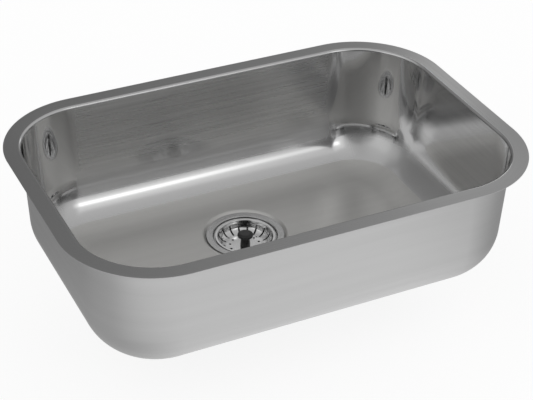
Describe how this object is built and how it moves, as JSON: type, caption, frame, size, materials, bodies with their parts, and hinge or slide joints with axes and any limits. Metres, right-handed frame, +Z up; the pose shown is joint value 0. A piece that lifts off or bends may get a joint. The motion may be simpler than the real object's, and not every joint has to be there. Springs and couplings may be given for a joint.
{
  "type": "kitchen sink",
  "caption": "Undermount steel bowl with a flat rim, round corners and a basket strainer waste whose slotted basket lifts out by its knob.",
  "frame": {"origin": "centre of the rim's top face, which lies against the underside of the worktop", "axes": "+X along the bowl's length, to the right seen from the front; +Y to the rear, where the drain is; +Z up"},
  "size_m": [0.6, 0.412, 0.2482],
  "materials": {
    "pressed_steel": "satin, brushed along the walls",
    "bright_steel": "bright",
    "fastener_steel": "plain",
    "brass": "plain",
    "rubber": "matt",
    "pad": "matt",
    "moulding": "satin",
    "knob": "gloss"
  },
  "bodies": {
    "sink": {"sink_bowl": "pressed_steel", "sound_pad_left": "pad", "sound_pad_right": "pad", "sound_pad_front": "pad", "waste_flange": "bright_steel", "flange_seal": "rubber", "body_seal": "rubber", "waste_body": "moulding", "clamp_insert": "brass", "clamp_screw": "fastener_steel", "clamp_washer": "fastener_steel"},
    "plug": {"basket_knob": "knob", "basket_spindle": "fastener_steel", "spindle_ring": "rubber", "basket_spacer": "fastener_steel", "plug_seal": "rubber", "plug_washer": "fastener_steel", "plug_nut": "fastener_steel"},
    "basket": {"strainer_basket": "bright_steel"}
  },
  "joints": [
    {"name": "strainer_lift", "type": "slide", "parent": "sink", "child": "plug", "axis": [0, 0, 1], "range_m": [0, 0.22]},
    {"name": "basket_turn", "type": "hinge", "parent": "plug", "child": "basket", "pos_m": [0, 0.05583, -0.186], "axis": [0, 0, 1], "continuous": true}
  ]
}
